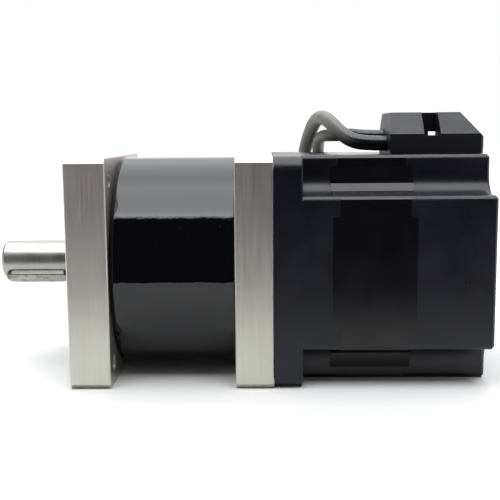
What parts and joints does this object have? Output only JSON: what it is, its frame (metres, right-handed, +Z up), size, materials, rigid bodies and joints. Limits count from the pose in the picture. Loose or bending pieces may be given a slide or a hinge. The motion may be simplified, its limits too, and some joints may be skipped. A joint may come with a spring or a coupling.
{
  "type": "inline planetary gear reducer",
  "caption": "Inline planetary gear reducer with a keyed output shaft, a square mounting flange, a round ring-gear housing, and a stepped square motor with a cable cover and two leads.",
  "frame": {"origin": "on the shaft axis, in the plane of the output flange's mounting face", "axes": "+X along the shaft axis from the output side towards the motor, +Z up through the cable cover, +Y away from the side that carries the shaft key at rest"},
  "size_m": [0.1921, 0.17, 0.1037],
  "materials": {
    "brushed_aluminium": "vertically brushed, satin",
    "gloss_black_enamel": "gloss enamel with a slight orange peel",
    "satin_black_casting": "satin powder coat over a die casting",
    "black_laminations": "semi-gloss black varnish",
    "ground_steel": "cylindrically ground",
    "key_steel": "drawn, lightly stained",
    "gear_steel": "hobbed and hardened",
    "bronze": "sintered, oiled",
    "bearing_steel": "polished",
    "spring_steel": "phosphated",
    "black_screws": "black oxide",
    "seal_rubber": "matt",
    "rotor_iron": "stacked laminations, turned",
    "magnet_black": "epoxy coated",
    "copper_winding": "enamelled copper wire",
    "bobbin_plastic": "moulded, natural",
    "circuit_board": "solder mask",
    "cover_plastic": "moulded, fine texture",
    "cable_sheath": "extruded sheath, satin",
    "white_connector": "moulded, natural"
  },
  "bodies": {
    "housing": {"output_flange": "brushed_aluminium", "output_shaft_seal": "seal_rubber", "ring_gear_housing": "gloss_black_enamel", "adapter_plate": "brushed_aluminium", "input_shaft_seal": "seal_rubber", "bearing_retaining_ring": "spring_steel", "outer_race_spacer": "bearing_steel", "housing_o_ring": "seal_rubber", "flange_screws": "black_screws", "adapter_screws": "black_screws", "motor_mounting_screws": "black_screws", "front_output_bearing_outer_race": "bearing_steel", "rear_output_bearing_outer_race": "bearing_steel", "front_motor_bearing_outer_race": "bearing_steel", "rear_motor_bearing_outer_race": "bearing_steel", "front_bell": "satin_black_casting", "stator_stack": "black_laminations", "stator_bobbins": "bobbin_plastic", "stator_coils": "copper_winding", "hall_sensor_board": "circuit_board", "rear_bell": "satin_black_casting", "bearing_preload_washer": "bearing_steel", "bell_screws": "black_screws", "cable_cover": "cover_plastic", "cover_screw": "black_screws", "cable_grommets": "seal_rubber", "power_cable": "cable_sheath", "signal_cable": "cable_sheath", "power_connector": "white_connector", "signal_connector": "white_connector"},
    "output_carrier": {"output_shaft": "ground_steel", "shaft_key": "key_steel", "shaft_retaining_ring": "spring_steel", "inner_race_spacer": "bearing_steel", "carrier_rear_plate": "gear_steel", "carrier_screws": "black_screws", "planet_pins": "gear_steel", "thrust_washers": "bronze", "front_output_bearing_inner_race": "bearing_steel", "rear_output_bearing_inner_race": "bearing_steel"},
    "rotor": {"motor_shaft": "ground_steel", "sun_gear": "gear_steel", "sun_gear_key": "key_steel", "rotor_core": "rotor_iron", "rotor_magnets": "magnet_black", "sensor_magnet": "magnet_black", "front_motor_bearing_inner_race": "bearing_steel", "rear_motor_bearing_inner_race": "bearing_steel"},
    "front_output_balls": {"front_output_bearing_balls": "bearing_steel"},
    "rear_output_balls": {"rear_output_bearing_balls": "bearing_steel"},
    "front_motor_balls": {"front_motor_bearing_balls": "bearing_steel"},
    "rear_motor_balls": {"rear_motor_bearing_balls": "bearing_steel"},
    "planet_1": {"planet_gear_1": "gear_steel", "planet_bush_1": "bronze"},
    "planet_2": {"planet_gear_2": "gear_steel", "planet_bush_2": "bronze"},
    "planet_3": {"planet_gear_3": "gear_steel", "planet_bush_3": "bronze"},
    "planet_4": {"planet_gear_4": "gear_steel", "planet_bush_4": "bronze"}
  },
  "joints": [
    {"name": "output_spin", "type": "hinge", "parent": "housing", "child": "output_carrier", "pos_m": [0, 0, 0], "axis": [1, 0, 0], "continuous": true},
    {"name": "rotor_spin", "type": "hinge", "parent": "housing", "child": "rotor", "pos_m": [0, 0, 0], "axis": [1, 0, 0], "continuous": true},
    {"name": "planet_1_spin", "type": "hinge", "parent": "output_carrier", "child": "planet_1", "pos_m": [0.048, 0.02, 0], "axis": [1, 0, 0], "continuous": true},
    {"name": "planet_2_spin", "type": "hinge", "parent": "output_carrier", "child": "planet_2", "pos_m": [0.048, 0, 0.02], "axis": [1, 0, 0], "continuous": true},
    {"name": "planet_3_spin", "type": "hinge", "parent": "output_carrier", "child": "planet_3", "pos_m": [0.048, -0.02, 0], "axis": [1, 0, 0], "continuous": true},
    {"name": "planet_4_spin", "type": "hinge", "parent": "output_carrier", "child": "planet_4", "pos_m": [0.048, 0, -0.02], "axis": [1, 0, 0], "continuous": true},
    {"name": "front_output_balls_spin", "type": "hinge", "parent": "housing", "child": "front_output_balls", "pos_m": [0.0115, 0, 0], "axis": [1, 0, 0], "continuous": true},
    {"name": "rear_output_balls_spin", "type": "hinge", "parent": "housing", "child": "rear_output_balls", "pos_m": [0.0255, 0, 0], "axis": [1, 0, 0], "continuous": true},
    {"name": "front_motor_balls_spin", "type": "hinge", "parent": "housing", "child": "front_motor_balls", "pos_m": [0.0855, 0, 0], "axis": [1, 0, 0], "continuous": true},
    {"name": "rear_motor_balls_spin", "type": "hinge", "parent": "housing", "child": "rear_motor_balls", "pos_m": [0.1475, 0, 0], "axis": [1, 0, 0], "continuous": true}
  ],
  "couplings": [
    {"joint": "rotor_spin", "follows": "output_spin", "ratio": 5},
    {"joint": "planet_1_spin", "follows": "output_spin", "ratio": -2.6667},
    {"joint": "planet_2_spin", "follows": "output_spin", "ratio": -2.6667},
    {"joint": "planet_3_spin", "follows": "output_spin", "ratio": -2.6667},
    {"joint": "planet_4_spin", "follows": "output_spin", "ratio": -2.6667},
    {"joint": "front_output_balls_spin", "follows": "output_spin", "ratio": 0.4},
    {"joint": "rear_output_balls_spin", "follows": "output_spin", "ratio": 0.4},
    {"joint": "front_motor_balls_spin", "follows": "output_spin", "ratio": 1.9561},
    {"joint": "rear_motor_balls_spin", "follows": "output_spin", "ratio": 1.94}
  ]
}
